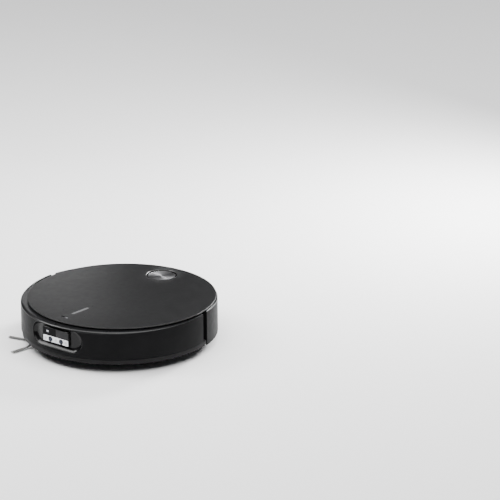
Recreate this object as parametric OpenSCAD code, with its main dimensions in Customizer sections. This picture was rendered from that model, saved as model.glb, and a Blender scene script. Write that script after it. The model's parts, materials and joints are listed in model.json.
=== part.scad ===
// Robot vacuum with two spinning mop pads, a turret-free round body and a camera window
// let into its front bumper. +X is the front, +Y its left side, +Z up. The origin is on
// the floor, under the centre of the round body.

/* [Body] */
// Outer radius of the round body
body_r = 175; // [170:1:180]
// Height of the top face above the floor
body_h = 81; // [80:0.5:84]
// Height of the flat underside above the floor
ground_gap = 11.5; // [11:0.25:12]
// Thickness of the moulded walls
wall = 2.4; // [2:0.1:2.8]
// Bottom edge of the bumper
side_low = 25.2; // [24.6:0.2:26]
// Bottom edge of the rear shell
shell_low = 16; // [15:0.5:18]

/* [Top cover] */
// Radius of the flat cover plate
cover_r = 168; // [165:0.5:168]
// How far the plate's centre lies behind the body's centre
cover_back = 5.9; // [5.4:0.1:6.2]
// How far the plate's centre lies to the left
cover_side = 2.1; // [1.8:0.1:2.3]
// Thickness of the cover plate
cover_t = 2.4; // [2:0.1:2.8]

/* [Bumper] */
// Direction of the bumper's left end
bumper_left = 90.3; // [88:0.1:91]
// Direction of the bumper's right end
bumper_right = -102; // [-103:0.1:-100]
// Width of the slots between the bumper and the rear shell, in degrees
slot_angle = 4.3; // [4:0.1:5]

/* [Front window] */
// Direction of the window, measured from straight ahead
window_angle = -8.5; // [-12:0.5:0]
// Length of the recess round the window
recess_len = 114; // [108:1:116]
// Height of the recess
recess_h = 41; // [39:0.2:41]
// Height of the recess's centre line above the floor
recess_z = 52.6; // [52.2:0.1:52.8]
// Radius of the recess's curved floor about the body's centre
recess_r = 168; // [167.6:0.1:168.4]
// Width of the sensor window
window_w = 60.6; // [58:0.2:61]
// Height of the sensor window
window_h = 27.6; // [26:0.2:28]

/* [Power button] */
// Distance of the button behind the body's centre
button_back = 132; // [131:1:134]
// How far the button lies to the left of the middle
button_side = 6; // [4:0.5:7]
// Radius of the button's disc
button_r = 25.3; // [24:0.1:25.4]

/* [Drive wheels] */
// Radius of the drive wheels
wheel_r = 33; // [32:0.5:33]
// Width of the tyres
wheel_w = 24; // [20:1:24]
// Distance from the middle to the centre of each tyre
wheel_y = 115; // [115:0.5:116]
// How far the wheel axis lies ahead of the body's centre
wheel_x = -20; // [-22:0.5:-19]

/* [Main brush] */
// How far the main brush lies ahead of the body's centre
brush_x = 55; // [55:0.5:56]
// Radius over the brush's blades
brush_r = 20.5; // [19:0.5:20.5]
// Length of the brush
brush_len = 150; // [140:1:150]

/* [Side brush] */
// Position of the side brush ahead of the centre
side_x = 92; // [90:1:94]
// Position of the side brush to the left of the centre
side_y = -106; // [-108:1:-105]
// Reach of the bristles from the hub
side_reach = 68; // [60:1:69]
// Direction of the first arm
side_turn = -16.5; // [-20:0.5:-12]

/* [Mop pads] */
// Position of the mop pads behind the centre
mop_back = 92; // [91:0.5:93]
// Distance of each mop pad from the middle
mop_y = 62; // [61:0.5:63]
// Radius of each mop pad
mop_r = 50; // [46:1:50]
// Height of the raised pads above the floor
mop_raise = 13; // [12.5:0.25:13]

/* [Hidden] */
$fn = 96;

// Clearances: a running fit, a moulded gap and a sliver that keeps cutters proud
run_fit = 0.05;
gap = 0.3;
eps = 1;

// Heights of the stacked shells
floor_t = 2.5;
floor_top = ground_gap + floor_t;
cover_low = body_h - cover_t;
flange_top = cover_low - 2;
deck_top = flange_top - 2.6;
deck_t = 2.5;
deck_low = deck_top - deck_t;
shell_top = cover_low - 0.6;

// Radii of the shells, from outside in
skirt_r = body_r - 1.8;
side_in = body_r - wall;
core_out = 163;
core_in = 160.5;
ring_out = core_in - gap;
bevel_r = 146;
shell_left = bumper_left + slot_angle;
shell_right = 360 + bumper_right - slot_angle;
rim_z = 79.4;
skirt_low = 15.8;
rear_skirt_r = 168;

// Wheel module
pivot_x = wheel_x + 53;
pivot_z = 40;
pivot_r = 3;
arm_in = 84.3;
arm_out = 100.5;
well_front = wheel_x + 45;
well_back = wheel_x - 37;
well_in = 84;
well_out = 131;

// Caster
caster_x = 115;
caster_r = 13;
caster_trail = 8;
caster_cup = 25;
caster_top = 34;

// Main brush
brush_z = brush_r + 4.2;
brush_room = 22.5;
brush_end = brush_len / 2 + 1.2;
spigot_r = 5;
duct_w = 50;
duct_h = 14;
duct_z = 27;

// Dustbin
bin_x0 = -36;
bin_x1 = 24;
bin_y = 76;
bin_low = 15;
bin_rim = 64;
bin_wall = 2;
lid_t = 3.2;
lid_low = bin_rim + gap;
lid_top = lid_low + lid_t;
lid_hinge_x = bin_x0 + 3.5;
lid_hinge_z = lid_low + 3.1;
lid_pin = 1.5;
ear_in = 60;
ear_out = 64;
handle_x = -5;
handle_z = lid_top + 1.9;
handle_t = 2.3;
handle_in = 28;
handle_out = 31;
handle_len = 27;
filter_y = 30;
filter_z0 = 30;
filter_z1 = 58;

// Mop modules
mop_room = mop_r + 2;
mop_ceiling = 25;
mop_cap_top = mop_ceiling + floor_t;
pad_t = 6;
plate_t = 3;
mop_shaft = 4;
unit_z = 42;
unit_t = 4;
unit_bar_x = -110;
screw_r = 2.5;

// Side brush
arm_reach = 36;
hub_r = 11;
stem_r = 4;
side_arms = 5;

// Fan
fan_x = -64;
fan_r = 25;
fan_low = 32;
fan_top = 68;

// Screws that hold the deck's posts to the chassis: forward and sideways positions
post_at = [[117, 76], [47, 130], [-66, 123]];
cliff_at = [[128, 55], [10, 139]];
pads_at = [40, 90, 132, 228, 270, 320];

// Marks on the cover: their direction, and the microphones' places along and across it
mark_angle = -10.5;
mic_at = [[116, 25.5], [116, -25.5], [69, 0]];

// Front sensors
window_z0 = 54 - window_h / 2;
window_z1 = window_z0 + window_h;
window_face = 170;
bar_top = window_z0 + 12.2;
eye_y = 12.4;
eye_z = window_z0 + 6;
camera_y = -18.5;
camera_z = window_z1 - 7.6;

// ---- Shared shapes ----

// A ring sector between two radii, two heights and two angles
module sector(r0, r1, z0, z1, a0, a1) {
    rotate([0, 0, a0])
        rotate_extrude(angle = a1 - a0)
            translate([r0, z0])
                square([r1 - r0, z1 - z0]);
}

// A box from its lowest corner to its highest corner
module block(low, high) {
    translate(low)
        cube(high - low);
}

// The same shape on the left and on the right
module both_sides() {
    children();
    mirror([0, 1, 0])
        children();
}

// A rod along Y
module rod_y(r, y0, y1) {
    translate([0, y0, 0])
        rotate([-90, 0, 0])
            cylinder(r = r, h = y1 - y0);
}

// A rod that looks out of the front window
module sight(r, y, z, x0, x1) {
    translate([x0, y, z])
        rotate([0, 90, 0])
            cylinder(r = r, h = x1 - x0);
}

// Everything under a plane that falls by a steady slope towards +X
module under_plane(height, slope) {
    translate([0, 0, height])
        rotate([0, atan(slope), 0])
            block([-300, -300, -100], [300, 300, 0]);
}

// Turns a shape drawn straight ahead to the window's direction
module at_window() {
    rotate([0, 0, window_angle])
        children();
}

// A bar with round ends, seen from the front, between two distances from the centre
module stadium(len, h, d0, d1) {
    straight = len - h;
    translate([0, 0, recess_z]) {
        for (s = [-1, 1])
            translate([d0, s * straight / 2, 0])
                rotate([0, 90, 0])
                    cylinder(r = h / 2, h = d1 - d0);
        block([d0, -straight / 2, -h / 2], [d1, straight / 2, h / 2]);
    }
}

// A coil drawn as a stack of rings joined by one straight backbone
module coil(r, wire, pitch, turns) {
    for (i = [0 : turns - 1])
        translate([0, 0, wire + i * pitch])
            rotate_extrude()
                translate([r, 0])
                    circle(r = wire, $fn = 24);
    translate([r, 0, wire])
        cylinder(r = wire * 0.7, h = (turns - 1) * pitch, $fn = 24);
}

// ---- Lower housing ----

module pan_profile() {
    polygon([
        [0, ground_gap], [bevel_r, ground_gap], [rear_skirt_r, skirt_low - 1],
        [rear_skirt_r, side_low - 1], [rear_skirt_r - wall, side_low - 1],
        [rear_skirt_r - wall, skirt_low], [bevel_r - 1, floor_top], [0, floor_top]
    ]);
}

// The lip that stands out under the bumper
module skirt_profile() {
    polygon([
        [rear_skirt_r - 1.5, skirt_low - 1], [skirt_r - 0.6, skirt_low + 0.4],
        [skirt_r, skirt_low + 1], [skirt_r, side_low - 1], [skirt_r - wall, side_low - 1],
        [skirt_r - wall, skirt_low + 3], [rear_skirt_r - 1.5, skirt_low + 2.4]
    ]);
}

module chassis_openings() {
    both_sides() {
        block([well_back, well_in, 0], [well_front, well_out, floor_top + eps]);
        translate([-mop_back, mop_y, 0]) {
            cylinder(r = mop_room, h = mop_ceiling);
            cylinder(r = mop_shaft + run_fit, h = 60);
        }
        for (p = post_at)
            translate([p[0], p[1], 0]) {
                cylinder(r = 1.7, h = floor_top + 4);
                cylinder(r = 3.3, h = ground_gap + 1.4);
            }
        for (p = cliff_at)
            block([p[0] - 9.2, p[1] - 5.2, 0], [p[0] + 9.2, p[1] + 5.2, floor_top + 4]);
    }
    block([brush_x - 23, -brush_end - 1.8, 0],
          [brush_x + 23, brush_end + 1.8, floor_top + eps]);
    translate([caster_x, 0, 0])
        cylinder(r = caster_cup, h = floor_top + eps);
    translate([side_x, side_y, 0])
        cylinder(r = stem_r + 1, h = floor_top + eps);
}

module chassis() {
    color([0.10, 0.10, 0.105])
    difference() {
        union() {
            rotate_extrude()
                pan_profile();
            rotate([0, 0, bumper_right - 2])
                rotate_extrude(angle = bumper_left - bumper_right + 4)
                    skirt_profile();
            sector(ring_out - wall, ring_out, floor_top - 1, side_low + 2, 0, 360);
            both_sides()
                translate([-mop_back, mop_y, ground_gap + 1])
                    cylinder(r = mop_room + 2, h = mop_cap_top - ground_gap - 1);
        }
        chassis_openings();
    }
}

// ---- Upper housing ----

module deck_posts() {
    both_sides()
        for (p = post_at)
            translate([p[0], p[1], floor_top + 0.1])
                cylinder(r = 4.5, h = deck_low - floor_top);
}

module top_deck() {
    color([0.07, 0.07, 0.075])
    difference() {
        union() {
            translate([0, 0, deck_low])
                cylinder(r = core_out, h = deck_t);
            deck_posts();
            for (a = pads_at)
                rotate([0, 0, a])
                    translate([140, 0, deck_top - 0.5])
                        cylinder(r = 5, h = cover_low - deck_top + 0.5);
        }
        block([bin_x0 - 1.5, -bin_y - 1.5, deck_low - eps],
              [bin_x1 + 1.5, bin_y + 1.5, deck_top + eps]);
        at_window()
            block([150, -62, 0], [170, 62, body_h]);
        translate([-button_back, button_side, 0])
            cylinder(r = 6 + run_fit, h = body_h);
        both_sides()
            for (p = post_at)
                translate([p[0], p[1], 0])
                    cylinder(r = 1.6, h = floor_top + 13);
    }
}

// The dark wall that shows through the side slots, open behind the window's recess
module core_wall() {
    color([0.07, 0.07, 0.075])
    difference() {
        sector(core_in, core_out, side_low, deck_low - 0.05, 0, 360);
        at_window()
            block([150, -62, recess_z - recess_h / 2 - 3], [170, 62, body_h]);
        both_sides()
            translate([-mop_back, mop_y, 0])
                cylinder(r = mop_room + 2 + gap, h = mop_cap_top + gap);
    }
}

module rear_shell_profile() {
    polygon([
        [side_in, shell_low], [body_r - 0.6, shell_low], [body_r, shell_low + 0.6],
        [body_r, shell_top - 1.5], [body_r - 0.5, shell_top - 0.6],
        [body_r - 1.5, shell_top],
        [core_out + 1, shell_top], [core_out + 1, shell_top - 2.2],
        [side_in, shell_top - 2.2]
    ]);
}

// The shell's edge stands up beside the cover next to each slot and dies out behind it
module shell_rims() {
    difference() {
        intersection() {
            union() {
                sector(cover_r - 2, body_r - 0.05, shell_top - 1, body_h, shell_left + 0.1, 130);
                sector(cover_r - 2, body_r - 0.05, shell_top - 1, body_h, 212, shell_right - 0.1);
            }
            under_plane(rim_z + 1, -0.018);
        }
        translate([-cover_back, cover_side, 0])
            cylinder(r = cover_r + 0.5, h = 100);
    }
}

module vent_slots() {
    for (side = [-1, 1])
        for (i = [0 : 8])
            rotate([0, 0, 180 + side * (22 + 2.2 * i)])
                block([170, -1.3, 42], [180, 1.3, 62]);
}

module rear_shell() {
    color([0.08, 0.08, 0.085])
    difference() {
        union() {
            rotate([0, 0, shell_left])
                rotate_extrude(angle = shell_right - shell_left)
                    rear_shell_profile();
            for (a = [shell_left + 0.3, shell_right - 1.1])
                sector(core_out + 1.5, body_r - 1, side_low + 0.5, shell_top - 1, a, a + 0.8);
            shell_rims();
        }
        vent_slots();
        for (side = [-1, 1])
            rotate([0, 0, 180 + side * 7])
                block([166, -8.2, 33.8], [180, 8.2, 46.2]);
        translate([-180, 0, 66])
            rotate([0, 90, 0])
                cylinder(r = 4, h = 12);
    }
}

module charging_contacts() {
    color([0.75, 0.70, 0.58])
    for (side = [-1, 1])
        rotate([0, 0, 180 + side * 7])
            block([170.6, -8, 34], [174.3, 8, 46]);
}

// ---- Bumper ----

module bumper_profile() {
    polygon([
        [side_in, side_low], [body_r - 0.7, side_low], [body_r, side_low + 0.7],
        [body_r, 74.2], [body_r - 0.4, 75.1], [body_r - 1.2, 75.8],
        [body_r - 2.6, 76.2], [body_r - 5, flange_top], [159, flange_top],
        [159, flange_top - 2], [169, flange_top - 2], [side_in, 72.4]
    ]);
}

// Towards its ends the bumper's top edge rises beside the cover
module bumper_rims() {
    intersection() {
        union() {
            sector(body_r - 3.8, body_r - 0.05, 73, rim_z + 1, 62, bumper_left - 0.1);
            sector(body_r - 3.8, body_r - 0.05, 73, rim_z + 1, bumper_right + 0.1, -62);
        }
        under_plane(rim_z, 0.034);
    }
}

module bumper() {
    color([0.06, 0.06, 0.065])
    difference() {
        union() {
            rotate([0, 0, bumper_right])
                rotate_extrude(angle = bumper_left - bumper_right)
                    bumper_profile();
            for (a = [bumper_right + 0.3, bumper_left - 1.1])
                sector(165.5, body_r - 1, side_low + 0.5, 75, a, a + 0.8);
            bumper_rims();
        }
        at_window()
            stadium(recess_len + 2.7, recess_h + 2.7, 150, 180);
    }
}

module recess_bezel() {
    color([0.09, 0.09, 0.095])
    at_window()
    difference() {
        intersection() {
            stadium(recess_len + 2.4, recess_h + 2.4, 140, 180);
            difference() {
                cylinder(r = body_r - 0.1, h = body_h);
                translate([0, 0, -eps])
                    cylinder(r = recess_r - 1.5, h = body_h + 2 * eps);
            }
        }
        difference() {
            stadium(recess_len, recess_h, 140, 190);
            translate([0, 0, -eps])
                cylinder(r = recess_r, h = body_h + 2 * eps);
        }
        block([150, -window_w / 2 - 1.6, window_z0 - 1.4], [180, window_w / 2 + 1.6, window_z1 + 1.4]);
    }
}

module bumper_springs() {
    color([0.7, 0.7, 0.7])
    for (side = [-1, 1])
        translate([130.5, side * 100.35, 50])
            rotate([0, 90, 0])
                coil(2, 0.4, 1.4, 6);
}

// ---- Front sensors ----

module sensor_housing() {
    color([0.05, 0.05, 0.05])
    at_window()
    difference() {
        block([142, -window_w / 2, window_z0], [window_face - 1.4, window_w / 2, window_z1]);
        block([144, -window_w / 2 + 2, window_z0 + 2], [window_face, window_w / 2 - 2, window_z1 - 2]);
    }
}

module sensor_window() {
    color([0.02, 0.02, 0.025])
    at_window()
    difference() {
        block([window_face - 1.4, -window_w / 2, window_z0], [window_face, window_w / 2, window_z1]);
        for (side = [-1, 1])
            sight(4.2, side * eye_y, eye_z, 150, 180);
        sight(3.4, camera_y, camera_z, 150, 180);
    }
}

module camera_lens() {
    color([0.3, 0.32, 0.4])
    at_window() {
        sight(5.2, camera_y, camera_z, 145, 162);
        sight(3.2, camera_y, camera_z, 145, window_face - 0.4);
    }
}

module light_bar() {
    color([0.8, 0.8, 0.82])
    at_window()
    difference() {
        block([window_face - 4.4, -window_w / 2 + 2.2, window_z0 + 2.2],
              [window_face - 1.6, window_w / 2 - 2.2, bar_top]);
        for (side = [-1, 1])
            sight(4.2, side * eye_y, eye_z, 150, 180);
    }
}

module line_lasers() {
    color([0.15, 0.05, 0.05])
    at_window()
    for (side = [-1, 1])
        sight(3.6, side * eye_y, eye_z, 147, window_face - 0.4);
}

// ---- Top cover ----

// A flat bar with round ends along the marks' direction
module badge_shape(margin, z0, z1) {
    rotate([0, 0, mark_angle])
        translate([100, 0, z0]) {
            block([-17.5, -3 - margin, 0], [17.5, 3 + margin, z1 - z0]);
            for (s = [-1, 1])
                translate([17.5 * s, 0, 0])
                    cylinder(r = 3 + margin, h = z1 - z0);
        }
}

module top_cover() {
    color([0.13, 0.13, 0.135])
    difference() {
        translate([-cover_back, cover_side, cover_low]) {
            cylinder(r = cover_r - 0.4, h = cover_t);
            translate([0, 0, 0.4])
                cylinder(r = cover_r, h = cover_t - 0.8);
        }
        translate([-button_back, button_side, 0])
            cylinder(r = button_r + 2.1, h = 100);
        rotate([0, 0, mark_angle]) {
            for (p = mic_at)
                translate([p[0], p[1], 0])
                    cylinder(r = 0.8, h = 100);
            block([138, -7.5, 0], [142.5, 9.5, 100]);
        }
        badge_shape(0.05, body_h - 0.5, body_h + eps);
    }
}

// Let into the cover, so that its top is flush
module cover_badge() {
    color([0.55, 0.55, 0.56])
    badge_shape(0, body_h - 0.48, body_h);
}

module indicator_light() {
    color([0.9, 0.9, 0.9])
    rotate([0, 0, mark_angle])
        block([138.2, -7.3, cover_low - 1.2], [142.3, 9.3, body_h - 0.4]);
}

// ---- Power button ----

module button_bezel() {
    color([0.2, 0.2, 0.2])
    translate([-button_back, button_side, deck_top])
        difference() {
            cylinder(r = button_r + 1.8, h = 6.4);
            translate([0, 0, -eps])
                cylinder(r = button_r + gap, h = 10);
        }
}

module power_button() {
    color([0.6, 0.6, 0.62])
    translate([-button_back, button_side, 0]) {
        translate([0, 0, deck_top + 2.8])
            cylinder(r = button_r, h = 2.4);
        translate([0, 0, deck_low - 5])
            cylinder(r = 6, h = deck_t + 9);
    }
}

module button_spring() {
    color([0.7, 0.7, 0.7])
    translate([-button_back, button_side, deck_top + 0.1])
        coil(9, 0.35, 0.9, 3);
}

// ---- Dustbin ----

module dustbin() {
    color([0.25, 0.25, 0.27])
    difference() {
        union() {
            block([bin_x0, -bin_y, bin_low], [bin_x1, bin_y, bin_rim]);
            both_sides()
                block([bin_x0, ear_in, bin_rim - 3], [bin_x0 + 6.8, ear_out, lid_hinge_z + 3.4]);
        }
        block([bin_x0 + bin_wall, -bin_y + bin_wall, bin_low + bin_wall],
              [bin_x1 - bin_wall, bin_y - bin_wall, bin_rim + eps]);
        block([bin_x1 - 5, -duct_w / 2, duct_z], [bin_x1 + 5, duct_w / 2, duct_z + duct_h]);
        block([bin_x0 - 5, -filter_y, filter_z0], [bin_x0 + 5, filter_y, filter_z1]);
        translate([lid_hinge_x, 0, lid_hinge_z])
            rod_y(lid_pin + run_fit, -70, 70);
    }
}

module filter() {
    color([0.85, 0.85, 0.85])
    difference() {
        block([bin_x0 + bin_wall + 0.1, -filter_y - 4, filter_z0 - 4],
              [bin_x0 + bin_wall + 10, filter_y + 4, filter_z1 + 4]);
        for (i = [-7 : 7])
            block([bin_x0 + 4, i * 4 - 1, filter_z0], [bin_x0 + 20, i * 4 + 1, filter_z1]);
    }
}

module dustbin_lid() {
    color([0.15, 0.15, 0.16])
    difference() {
        union() {
            block([bin_x0 + 7, -bin_y, lid_low], [bin_x1, bin_y, lid_top]);
            translate([lid_hinge_x, 0, lid_hinge_z]) {
                rod_y(3, -ear_in + 0.5, ear_in - 0.5);
                rod_y(lid_pin, -ear_out, ear_out);
            }
            block([lid_hinge_x, -ear_in + 0.5, lid_low + 0.1],
                  [bin_x0 + 8, ear_in - 0.5, lid_top]);
            both_sides()
                block([handle_x - 2.6, handle_out + 0.3, lid_top - 0.5],
                      [handle_x + 2.6, handle_out + 4, handle_z + 1.6]);
        }
        both_sides()
            block([bin_x0, ear_in - 0.5, 0], [bin_x0 + 13, ear_out + 1.5, 100]);
        translate([handle_x, 0, handle_z])
            rod_y(1.2 + run_fit, -60, 60);
    }
    color([0.15, 0.15, 0.16])
    translate([lid_hinge_x, 0, lid_hinge_z])
        for (s = [0, 1])
            mirror([0, s, 0])
                rod_y(lid_pin, ear_in - 0.6, ear_out);
}

module dustbin_handle() {
    color([0.3, 0.3, 0.32])
    translate([handle_x, 0, handle_z]) {
        both_sides() {
            block([0, handle_in, -handle_t / 2], [handle_len, handle_out, handle_t / 2]);
            rod_y(handle_t / 2, handle_in, handle_out);
            rod_y(1.2, handle_out - 0.5, handle_out + 3.8);
        }
        block([handle_len - 5, -handle_in - 1, -handle_t / 2],
              [handle_len, handle_in + 1, handle_t / 2]);
    }
}

// ---- Main brush ----

module brush_housing() {
    color([0.12, 0.12, 0.12])
    difference() {
        union() {
            translate([brush_x, 0, brush_z])
                rod_y(brush_room + 2.5, -brush_end - 1.8, brush_end + 1.8);
            block([brush_x - 25, -brush_end - 1.8, floor_top],
                  [brush_x + 25, brush_end + 1.8, brush_z]);
            block([bin_x1 + gap, -duct_w / 2 - 2, duct_z - 2],
                  [brush_x - 10, duct_w / 2 + 2, duct_z + duct_h + 2]);
        }
        translate([brush_x, 0, brush_z])
            rod_y(brush_room, -brush_end, brush_end);
        translate([brush_x, 0, brush_z])
            rod_y(spigot_r + run_fit, -90, 90);
        block([brush_x - brush_room, -brush_end, 0],
              [brush_x + brush_room, brush_end, brush_z]);
        block([bin_x1, -duct_w / 2, duct_z], [brush_x, duct_w / 2, duct_z + duct_h]);
        block([0, -100, -20], [120, 100, floor_top]);
    }
}

module brush_core() {
    color([0.3, 0.3, 0.3])
    translate([brush_x, 0, brush_z]) {
        rod_y(9, -brush_len / 2, brush_len / 2);
        rod_y(spigot_r, -brush_end - 1.7, brush_end + 1.7);
    }
}

module brush_blades() {
    color([0.35, 0.1, 0.08])
    translate([brush_x, 0, brush_z])
        difference() {
            union() {
                rod_y(11, -brush_len / 2, brush_len / 2);
                for (i = [0 : 2])
                    rotate([0, i * 60, 0])
                        block([-brush_r, 2 - brush_len / 2, -1.5],
                              [brush_r, brush_len / 2 - 2, 1.5]);
            }
            rod_y(9, -100, 100);
        }
}

module brush_guard() {
    color([0.15, 0.15, 0.15])
    difference() {
        block([brush_x - 28, -brush_end - 5, ground_gap - 2.4],
              [brush_x + 28, brush_end + 5, ground_gap - 0.1]);
        block([brush_x - brush_r - 1, -brush_end, 0], [brush_x + brush_r + 1, brush_end, 20]);
    }
}

module main_brush_motor() {
    color([0.5, 0.5, 0.52])
    difference() {
        union() {
            block([brush_x - 8, brush_end + 2.1, floor_top + 0.2], [brush_x + 23, 100, 46]);
            translate([brush_x + 8, 0, 34])
                rod_y(10, 99, 124);
        }
        translate([brush_x, 0, brush_z])
            rod_y(2, 70, 90);
    }
}

// ---- Wheels ----

module wheel_bracket_half() {
    difference() {
        union() {
            for (y = [80.3, arm_out + gap])
                block([well_front + 0.5, y, floor_top], [pivot_x + 8, y + 3.6, pivot_z + 8]);
            block([well_front + 0.5, 80.3, floor_top],
                  [pivot_x + 8, arm_out + gap + 3.6, floor_top + 2]);
            translate([pivot_x, 0, pivot_z])
                rod_y(pivot_r, 80.3, arm_out + gap + 3.6);
        }
        block([brush_x - 25.4, 70, 0], [brush_x, brush_end + 2, 60]);
    }
}

module wheel_bracket_left() {
    color([0.2, 0.2, 0.21])
    wheel_bracket_half();
}

module wheel_bracket_right() {
    color([0.2, 0.2, 0.21])
    mirror([0, 1, 0])
        wheel_bracket_half();
}

// Gearbox arm from the pivot back to the wheel hub, in the XZ plane
module wheel_arm_half() {
    difference() {
        union() {
            translate([pivot_x, 0, pivot_z])
                rod_y(7.5, arm_in, arm_out);
            translate([wheel_x, 0, wheel_r])
                rod_y(16, arm_in, arm_out);
            translate([0, arm_out, 0])
                rotate([90, 0, 0])
                    linear_extrude(height = arm_out - arm_in)
                        polygon([
                            [pivot_x, pivot_z + 7.4], [wheel_x, wheel_r + 15.8],
                            [wheel_x, wheel_r - 15.8], [pivot_x, pivot_z - 7.4]
                        ]);
            translate([wheel_x + 26, 0, pivot_z + 3])
                rod_y(9, arm_in - 4, arm_in + 4);
        }
        translate([pivot_x, 0, pivot_z])
            rod_y(pivot_r + run_fit, 70, 120);
        translate([wheel_x, 0, wheel_r])
            rod_y(4 + run_fit, 90, 120);
    }
}

module wheel_arm_left() {
    color([0.16, 0.16, 0.17])
    wheel_arm_half();
}

module wheel_arm_right() {
    color([0.16, 0.16, 0.17])
    mirror([0, 1, 0])
        wheel_arm_half();
}

module wheel_axle_half() {
    translate([wheel_x, 0, wheel_r])
        rod_y(4, 90.5, wheel_y + wheel_w / 2 - 4);
}

module wheel_axle_left() {
    color([0.7, 0.7, 0.72])
    wheel_axle_half();
}

module wheel_axle_right() {
    color([0.7, 0.7, 0.72])
    mirror([0, 1, 0])
        wheel_axle_half();
}

module wheel_hub_half() {
    translate([wheel_x, 0, wheel_r])
        difference() {
            union() {
                rod_y(wheel_r - 6, wheel_y - wheel_w / 2 + 2, wheel_y + wheel_w / 2 - 2);
                rod_y(8, wheel_y - wheel_w / 2, wheel_y);
            }
            rod_y(4, 80, 150);
            rod_y(wheel_r - 9, wheel_y + 2, 150);
            for (i = [0 : 5])
                rotate([0, i * 60, 0])
                    translate([16, 0, 0])
                        rod_y(4.5, 80, 150);
        }
}

module wheel_hub_left() {
    color([0.2, 0.2, 0.2])
    wheel_hub_half();
}

module wheel_hub_right() {
    color([0.2, 0.2, 0.2])
    mirror([0, 1, 0])
        wheel_hub_half();
}

module wheel_tyre_half() {
    treads = 28;
    translate([wheel_x, 0, wheel_r])
        difference() {
            rod_y(wheel_r, wheel_y - wheel_w / 2, wheel_y + wheel_w / 2);
            rod_y(wheel_r - 6, 80, 150);
            for (i = [0 : treads - 1])
                rotate([0, (i + 0.5) * 360 / treads, 0])
                    block([wheel_r - 2, 80, -1.2], [wheel_r + 2, 150, 1.2]);
        }
}

module wheel_tyre_left() {
    color([0.08, 0.08, 0.08])
    wheel_tyre_half();
}

module wheel_tyre_right() {
    color([0.08, 0.08, 0.08])
    mirror([0, 1, 0])
        wheel_tyre_half();
}

module suspension_spring_half() {
    translate([pivot_x, 106, pivot_z])
        rotate([-90, 0, 0])
            coil(6, 0.8, 1.9, 4);
}

module suspension_springs() {
    color([0.7, 0.7, 0.7])
    both_sides()
        suspension_spring_half();
}

// ---- Caster ----

module caster_socket() {
    color([0.15, 0.15, 0.15])
    translate([caster_x, 0, 0])
        difference() {
            translate([0, 0, floor_top])
                cylinder(r = caster_cup + 2, h = caster_top + 2 - floor_top);
            cylinder(r = caster_cup, h = caster_top - 3);
            cylinder(r = 4 + run_fit, h = 60);
        }
}

module caster_fork() {
    color([0.2, 0.2, 0.2])
    translate([caster_x, 0, 0])
        difference() {
            union() {
                translate([0, 0, 27])
                    cylinder(r = 21, h = 3);
                translate([0, 0, 29])
                    cylinder(r = 4, h = 9);
                both_sides() {
                    block([-caster_trail - 5, 8, caster_r], [5, 11, 28]);
                    translate([-caster_trail, 0, caster_r])
                        rod_y(5, 8, 11);
                }
            }
            translate([-caster_trail, 0, caster_r])
                rod_y(2 + run_fit, -30, 30);
        }
}

module caster_wheel() {
    color([0.3, 0.3, 0.3])
    translate([caster_x - caster_trail, 0, caster_r])
        difference() {
            union() {
                rod_y(caster_r, -4.5, 4.5);
                rod_y(caster_r - 2, -6.5, 6.5);
            }
            rod_y(2 + run_fit, -30, 30);
        }
}

module caster_axle() {
    color([0.7, 0.7, 0.7])
    translate([caster_x - caster_trail, 0, caster_r])
        rod_y(2, -11, 11);
}

// ---- Side brush ----

module side_spokes(profile, width) {
    for (i = [0 : side_arms - 1])
        rotate([0, 0, side_turn + i * 360 / side_arms])
            translate([0, width / 2, 0])
                rotate([90, 0, 0])
                    linear_extrude(height = width)
                        polygon(profile);
}

module side_brush_hub() {
    color([0.12, 0.12, 0.12])
    translate([side_x, side_y, 0]) {
        translate([0, 0, 4.6])
            cylinder(r = hub_r, h = 6.4);
        translate([0, 0, 10])
            cylinder(r = stem_r, h = 12);
        side_spokes([
            [6, 8.2], [14, 8.2], [arm_reach - 2, 3.6], [arm_reach, 3.6],
            [arm_reach, 1.6], [arm_reach - 4, 1.6], [12, 4.8], [6, 4.8]
        ], 4.5);
    }
}

module side_brush_bristles() {
    color([0.5, 0.5, 0.5])
    translate([side_x, side_y, 0])
        side_spokes([
            [arm_reach, 3.5], [side_reach, 2.6], [side_reach, 0.8], [arm_reach, 1.6]
        ], 6);
}

// Stands on two feet over the slope of the lower housing's rim
module side_brush_motor() {
    color([0.45, 0.45, 0.47])
    translate([side_x, side_y, 0])
        difference() {
            union() {
                translate([0, 0, floor_top + 1.8])
                    cylinder(r = 16, h = 12);
                translate([0, 0, floor_top + 1.8])
                    cylinder(r = 11, h = 32);
                for (p = [[-12, 4], [0, 12]])
                    translate([p[0], p[1], floor_top + 0.1])
                        cylinder(r = 2.5, h = 2.5);
            }
            cylinder(r = stem_r + run_fit, h = floor_top + 10);
        }
}

// ---- Mop modules ----

module mop_drive_unit() {
    color([0.2, 0.2, 0.22])
    difference() {
        union() {
            both_sides() {
                translate([-mop_back, mop_y, unit_z]) {
                    cylinder(r = 20, h = unit_t);
                    cylinder(r = 16, h = 23);
                }
                block([unit_bar_x - 6, 0, unit_z], [unit_bar_x + 6, mop_y, unit_z + unit_t]);
            }
        }
        both_sides()
            translate([-mop_back, mop_y, unit_z - eps])
                cylinder(r = mop_shaft + run_fit, h = unit_t + eps);
        translate([unit_bar_x, 0, 0])
            cylinder(r = screw_r + run_fit, h = 100);
    }
}

module mop_plate_half() {
    translate([-mop_back, mop_y, mop_raise + pad_t]) {
        cylinder(r = mop_r - 3, h = plate_t);
        cylinder(r = mop_shaft, h = unit_z + unit_t - 1 - mop_raise - pad_t);
    }
}

module mop_plate_left() {
    color([0.3, 0.3, 0.32])
    mop_plate_half();
}

module mop_plate_right() {
    color([0.3, 0.3, 0.32])
    mirror([0, 1, 0])
        mop_plate_half();
}

module mop_pad_half() {
    translate([-mop_back, mop_y, mop_raise])
        cylinder(r = mop_r, h = pad_t);
}

module mop_pad_left() {
    color([0.4, 0.42, 0.46])
    mop_pad_half();
}

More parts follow.
